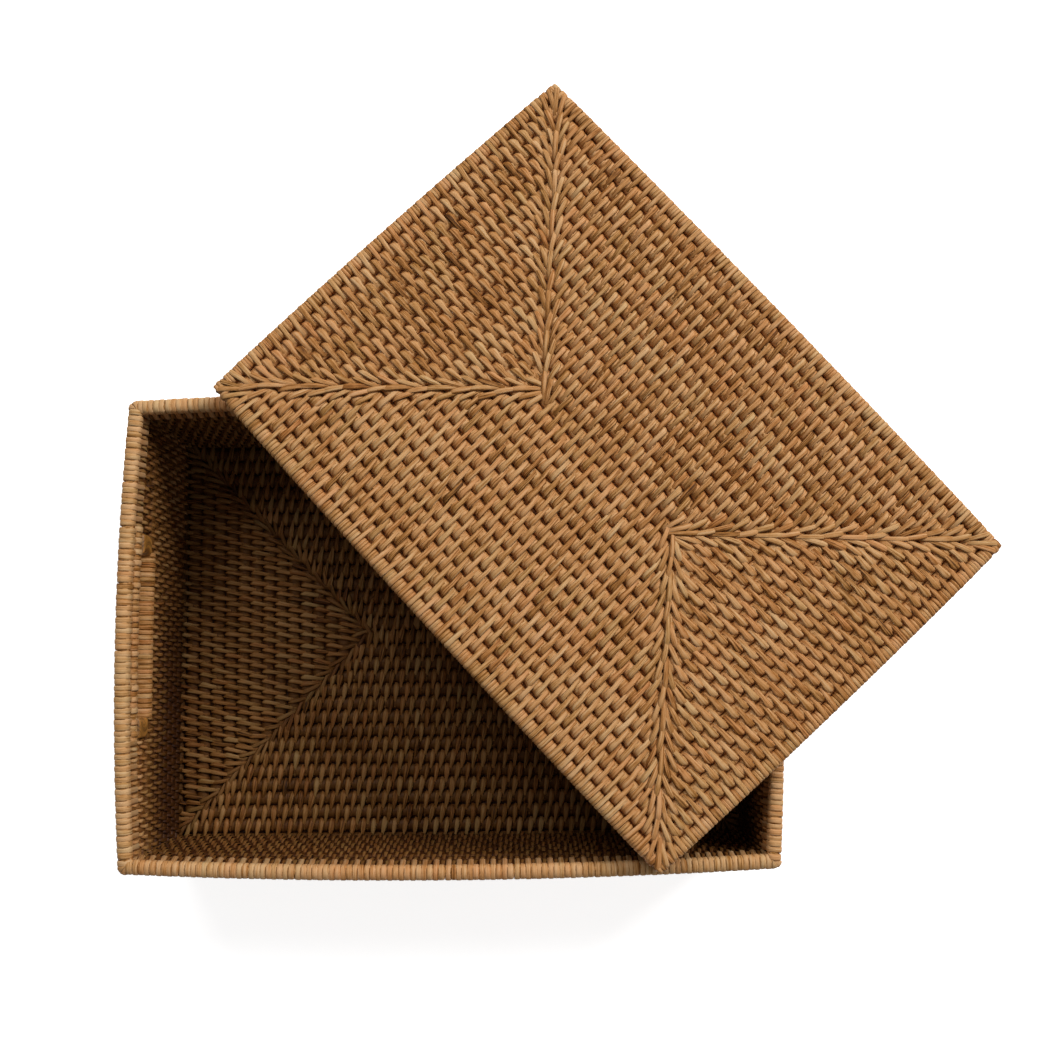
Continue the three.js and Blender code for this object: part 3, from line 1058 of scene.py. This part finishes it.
def bind_edge(name, sheet, course, splints, leans):
    """Binding of the last course: one long stitch down over the course before it, then short wraps"""
    winding = Winding(name, splints)
    random = winding.random
    unit = splints.lid_unit / MM
    between = course - 0.5
    for side in SIDES:
        short = int(side in SHORT_SIDES)
        half = sheet.reach(side, between)
        limits = (-half + BORDER_CLEAR, half - BORDER_CLEAR)
        lateral = row_places(unit, row_phase(side, course), limits, random)
        slope, near = mitre_slopes(
            lateral, (-half, half), splints.fan_reach / MM, BORDER_SLOPES[short], leans[short], random)
        width = unit * splints.ridge_width * random.normal(1.0, 0.06, len(lateral))
        winding.add(sheet, side, between, lateral, EDGE_STITCH, width, slope, height=1.0 + 0.04 * near,
                    stretch=1.0 - 0.12 * near, bare_from=BARE_HEAD)
        tops = lateral + 0.5 * sheet.pitch(side) * slope
        corner = sheet.reach(side, float(course)) + BORDER_ENDS[short]
        stops = np.concatenate([[-corner], tops, [corner]])
        bare = 0.5 * unit * splints.ridge_width
        for one, two in zip(stops[:-1], stops[1:]):
            first = one + (bare if one > -corner else 0.0)
            last = two - (bare if two < corner else 0.0)
            count = int(round((last - first) / BORDER_WRAP))
            if count > 0:
                wrap = (last - first) / count
                places = first + wrap * (np.arange(count) + 0.5)
                past = np.abs(places) - corner + BORDER_ROUNDING
                rounding = np.clip(past / BORDER_ROUNDING, 0.0, 1.0) ** 2
                winding.add(sheet, side, float(course), places, SHORT_WRAP, BORDER_WRAP_WIDTH * wrap,
                            height=0.97, stretch=1.02 - 0.35 * rounding, paler=0.03, bare_from=BARE_OUTSIDE)
    return winding


class RATTAN_OT_base_splints(bpy.types.Operator):
    """Splints that bind the base, on both its faces"""

    bl_idname = "rattan.base_splints"
    bl_label = "Base splints"

    def execute(self, context):
        splints = context.scene.rattan_splints
        forms = [(FLOOR_STITCH, splints.floor_width), (RIDGE_STITCH, 0.8 * splints.floor_width)]
        leans = (splints.base_lean, splints.base_lean)
        nodes = ["base_start_rod", *node_names("base_course", 1, BASE_COURSES), "base_foot_course"]
        for sides, name, turn in (
                (LONG_SIDES, "base_splints_long_sides", 0.6), (SHORT_SIDES, "base_splints_short_sides", 1.1)):
            winding = stitch_sheet(
                name, base_sheet(), sides, range(1, BASE_COURSES + 2), splints.base_unit / MM, splints, leans,
                0.7 * splints.fan_reach / MM, forms, turn, splints.floor_painted_shade, vary=1.6)
            wind(context, winding, "box", nodes)
        return {"FINISHED"}


class RATTAN_OT_lid_splints(bpy.types.Operator):
    """Splints that bind the lid, on both its faces, and its closely bound border"""

    bl_idname = "rattan.lid_splints"
    bl_label = "Lid splints"

    def execute(self, context):
        splints = context.scene.rattan_splints
        sheet = lid_sheet()
        forms = [(RIDGE_STITCH, splints.ridge_width), (SPINDLE_STITCH, splints.spindle_width)]
        leans = (splints.ridge_lean, splints.spindle_lean)
        nodes = ["lid_start_rod", *node_names("lid_course", 1, LID_COURSES - 1)]
        for sides, name in ((LONG_SIDES, "lid_splints_long_sides"), (SHORT_SIDES, "lid_splints_short_sides")):
            winding = stitch_sheet(
                name, sheet, sides, range(1, LID_COURSES), splints.lid_unit / MM, splints, leans,
                splints.fan_reach / MM, forms)
            wind(context, winding, "lid", nodes)
        winding = bind_edge("lid_border_binding", sheet, LID_COURSES, splints, leans)
        wind(context, winding, "lid", ["lid_border_course"])
        return {"FINISHED"}


def wall_places(reach, unit, course, random):
    """Even places along one side of the wall, half a spacing on in every other course"""
    count = int(round(2 * reach / unit))
    step = 2 * reach / count
    places = -reach + step * (np.arange(count) + 0.25 + 0.5 * (course % 2))
    return places + random.normal(0.0, PLACE_STRAYS, count), step


class RATTAN_OT_wall_splints(bpy.types.Operator):
    """Splints that bind the wall courses, and the close binding of the slots' edges"""

    bl_idname = "rattan.wall_splints"
    bl_label = "Wall splints"

    def execute(self, context):
        splints = context.scene.rattan_splints
        wall = wall_stack()
        nodes = [*node_names("wall_course", 1, SLOT_BELOW), f"wall_course_{WALL_COURSES}"]
        nodes += [f"wall_course_{course:02d}_{end}" for course in CUT_COURSES for end in LONG_SIDES]
        lean = math.tan(splints.wall_lean)
        for side in SIDES:
            winding = Winding(f"wall_splints_{side}", splints)
            random = winding.random
            slotted = side in SHORT_SIDES
            for course in range(1, WALL_COURSES + 1):
                places, step = wall_places(wall.reach(side), splints.wall_unit / MM, course, random)
                count = len(places)
                width = step * splints.wall_width * random.normal(1.0, 0.06, count)
                height = random.normal(1.0, 0.03, count)
                slope = lean + random.normal(0.0, 0.05, count)
                keep = np.ones(count, bool)
                if slotted and course > SLOT_BELOW:
                    keep = np.abs(places) >= CUT_HALF + SLOT_CLEAR
                # Painted shade on the inside of this course
                shade = inner_painted_shade(splints, wall.spot(side, places, course)[0])
                winding.add(wall, side, course - 0.5, places[keep], WALL_STITCH, width[keep], slope[keep],
                            height=height[keep], curl=splints.curl, shade=shade[keep], shaded_face=-1.0)
                if slotted and course in SLOT_EDGES:
                    wrapped, spacing, turns = SLOT_EDGES[course]
                    wraps = np.linspace(-wrapped, wrapped, int(2 * wrapped / spacing))
                    wraps = wraps + random.normal(0.0, 0.1, len(wraps))
                    for start, (proud, paler) in enumerate(turns):
                        row = wraps[start::2]
                        winding.add(wall, side, float(course), row, SLOT_WRAP, SLOT_WRAP_WIDTH * spacing,
                                    slope=0.02, height=random.normal(proud, 0.02, len(row)), paler=paler,
                                    vary=1.5, bare_from=BARE_ALL_OVER)
            wind(context, winding, "box", nodes)
        return {"FINISHED"}


def rim_turns():
    """A long turn of the rim's binding, down over the course below, and a short one, both flatter inside"""
    long_turn = EDGE_STITCH.copy()
    upper = long_turn[:, 0] > BARE_HEAD
    long_turn[upper, 0] = 0.54 + (long_turn[upper, 0] - 0.54) * 1.08
    long_turn[upper, 1] *= 1.13
    short_turn = SHORT_WRAP * np.array([1.09, 1.13, 1.0])
    for turn in (long_turn, short_turn):
        turn[turn[:, 1] < 0.0, 1] *= 0.8
    long_turn[-2:, :2] = ((0.12, -2.5), (-0.52, -4.35))
    return long_turn, short_turn


class RATTAN_OT_rim_binding(bpy.types.Operator):
    """Close binding of the rim, with every other turn taken down over the course below"""

    bl_idname = "rattan.rim_binding"
    bl_label = "Rim binding"

    def execute(self, context):
        splints = context.scene.rattan_splints
        wall = wall_stack()
        winding = Winding("rim_binding", splints)
        long_turn, short_turn = rim_turns()
        for side in SIDES:
            places, step = wall_places(wall.reach(side), splints.wall_unit / MM, RIM, winding.random)
            width = step * RIM_WRAP_WIDTH * winding.random.normal(1.0, 0.04, len(places))
            winding.add(wall, side, RIM - 0.5, places, long_turn, width, slope=0.03, paler=0.20,
                        bare_from=BARE_HEAD)
            winding.add(wall, side, RIM + RIM_LIFT, places + 0.5 * step, short_turn, width, slope=0.03,
                        height=0.98, paler=0.15, bare_from=BARE_OUTSIDE)
        wind(context, winding, "box", ["rim_course"])
        return {"FINISHED"}


class RATTAN_OT_lip_binding(bpy.types.Operator):
    """Close binding of the lip under the lid"""

    bl_idname = "rattan.lip_binding"
    bl_label = "Lip binding"

    def execute(self, context):
        lip = lip_stack()
        winding = Winding("lid_lip_binding", context.scene.rattan_splints)
        for side in SIDES:
            places, step = wall_places(lip.reach(side), LIP_SPACING, 0, winding.random)
            winding.add(lip, side, 0.0, places, LIP_WRAP, step * LIP_WRAP_WIDTH, slope=0.08,
                        bare_from=BARE_ALL_OVER)
        wind(context, winding, "lid", ["lid_lip_course"])
        return {"FINISHED"}


def plug_shape(low, high, end):
    """A plug with a hollow tip towards the middle of the slot"""
    tip, back, sign = (low.y, high.y, 1.0) if end == "back" else (high.y, low.y, -1.0)
    outline = []
    for row in range(PLUG_ROWS + 1):
        level = low.z + (high.z - low.z) * row / PLUG_ROWS
        bulge = 1.0 - (2.0 * row / PLUG_ROWS - 1.0) ** 2
        outline.append((tip + sign * PLUG_HOLLOW * MM * bulge, level))
    shape = bmesh.new()
    columns = []
    for x in (low.x, high.x):
        columns.append([shape.verts.new((x, y, z)) for y, z in outline])
        columns.append([shape.verts.new((x, back, z)) for _, z in outline])
    left_tip, left_back, right_tip, right_back = columns
    for row in range(PLUG_ROWS):
        above = row + 1
        shape.faces.new((left_tip[row], left_tip[above], left_back[above], left_back[row]))
        shape.faces.new((right_tip[row], right_back[row], right_back[above], right_tip[above]))
        shape.faces.new((left_tip[row], right_tip[row], right_tip[above], left_tip[above]))
        shape.faces.new((left_back[row], left_back[above], right_back[above], right_back[row]))
    shape.faces.new((left_tip[0], left_back[0], right_back[0], right_tip[0]))
    shape.faces.new((left_tip[-1], right_tip[-1], right_back[-1], left_back[-1]))
    return shape


class RATTAN_OT_handle_plugs(bpy.types.Operator):
    """Bare plugs in the ends of the handle slots"""

    bl_idname = "rattan.handle_plugs"
    bl_label = "Handle plugs"

    def execute(self, context):
        finish = plug_finish(context.scene.rattan_colours)
        for wall in ("left", "right"):
            for end in ("front", "back"):
                node = f"handle_plug_{wall}_{end}"
                low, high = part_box(node)
                mesh = smooth_mesh(plug_shape(low, high, end), node + "_smooth", finish)
                piece = place_piece(mesh, "box", [node])
                bevel = piece.modifiers.new("rounding", "BEVEL")
                bevel.width = PLUG_ROUNDING * MM
                bevel.segments = 4
                bevel.limit_method = "ANGLE"
                bevel.angle_limit = math.radians(50.0)
        return {"FINISHED"}


def seen_rays(tree, *kinds):
    """1 for rays of these kinds and 0 for the rest"""
    rays = add_node(tree, "ShaderNodeLightPath").outputs
    seen = rays[kinds[0]]
    for kind in kinds[1:]:
        seen = math_node(tree, "MAXIMUM", seen, rays[kind])
    return seen


class RATTAN_OT_stage(bpy.types.Operator):
    """Pale floor, soft light and the photograph's camera"""

    bl_idname = "rattan.stage"
    bl_label = "Stage"

    def execute(self, context):
        scene = context.scene
        stage = scene.rattan_stage
        scene.view_settings.view_transform = "Standard"

        camera = bpy.data.objects.new("camera", bpy.data.cameras.new("camera"))
        camera.data.sensor_width = 36.0
        camera.data.lens = stage.focal
        camera.data.clip_start = 0.01
        camera.location = stage.camera_place
        camera.rotation_euler = stage.camera_turn
        scene.collection.objects.link(camera)
        scene.camera = camera

        mesh = bpy.data.meshes.new("floor")
        corners = [(x * FLOOR_HALF, y * FLOOR_HALF, 0) for x, y in ((-1, -1), (1, -1), (1, 1), (-1, 1))]
        mesh.from_pydata(corners, [], [(0, 1, 2, 3)])
        floor = bpy.data.objects.new("floor", mesh)
        floor.location.z = FLOOR_LEVEL
        scene.collection.objects.link(floor)
        material, tree = finish_tree("pale floor")
        seen = seen_rays(tree, "Is Camera Ray", "Is Glossy Ray", "Is Transmission Ray")
        surface_shader(tree, {
            "Base Color": FLOOR_COLOUR, "Roughness": 0.9, "Specular IOR Level": 0.0, "Emission Color": WHITE,
            "Emission Strength": math_node(tree, "MULTIPLY", seen, FLOOR_GLOW)})
        mesh.materials.append(material)

        for name, power, (size, place) in (
                ("key lamp", stage.key_power, KEY_LAMP), ("top lamp", stage.top_power, TOP_LAMP)):
            lamp = bpy.data.lights.new(name, "AREA")
            lamp.energy = power
            lamp.size = size
            holder = bpy.data.objects.new(name, lamp)
            holder.location = place
            holder.rotation_euler = (-Vector(place)).to_track_quat("-Z", "Y").to_euler()
            scene.collection.objects.link(holder)

        scene.world = bpy.data.worlds.new("studio")
        scene.world.use_nodes = True
        tree = scene.world.node_tree
        tree.nodes.clear()
        seen = seen_rays(tree, "Is Camera Ray", "Is Transmission Ray")
        strength = map_range(tree, seen, (0.0, 1.0), (stage.ambient, 1.0))
        back = add_node(tree, "ShaderNodeBackground", {"Color": WHITE, "Strength": strength})
        add_node(tree, "ShaderNodeOutputWorld", {"Surface": back.outputs[0]})
        return {"FINISHED"}


class RATTAN_PT_build(bpy.types.Panel):
    """Lists what the box is made of"""

    bl_idname = "RATTAN_PT_build"
    bl_label = "Coiled Rattan Box"
    bl_space_type = "VIEW_3D"
    bl_region_type = "UI"
    bl_category = "Rattan"

    def draw(self, context):
        layout = self.layout
        for operator in OPERATORS:
            layout.operator(operator.bl_idname)
        for label in SETTINGS:
            group = getattr(context.scene, label)
            column = layout.column()
            for name in group.__annotations__:
                column.prop(group, name)


OPERATORS = (
    RATTAN_OT_stage,
    RATTAN_OT_rods,
    RATTAN_OT_base_splints,
    RATTAN_OT_wall_splints,
    RATTAN_OT_rim_binding,
    RATTAN_OT_handle_plugs,
    RATTAN_OT_lid_splints,
    RATTAN_OT_lip_binding,
)
SETTINGS = {"rattan_splints": RattanSplints, "rattan_colours": RattanColours, "rattan_stage": RattanStage}
CLASSES = (*SETTINGS.values(), *OPERATORS, RATTAN_PT_build)


def register():
    for kind in CLASSES:
        bpy.utils.register_class(kind)
    for label, kind in SETTINGS.items():
        setattr(bpy.types.Scene, label, PointerProperty(type=kind))


def unregister():
    for label in SETTINGS:
        delattr(bpy.types.Scene, label)
    for kind in reversed(CLASSES):
        bpy.utils.unregister_class(kind)


def main():
    register()
    bpy.ops.rattan.stage()
    bpy.ops.rattan.rods()
    bpy.ops.rattan.base_splints()
    bpy.ops.rattan.wall_splints()
    bpy.ops.rattan.rim_binding()
    bpy.ops.rattan.handle_plugs()
    bpy.ops.rattan.lid_splints()
    bpy.ops.rattan.lip_binding()


if __name__ == "__main__":
    main()
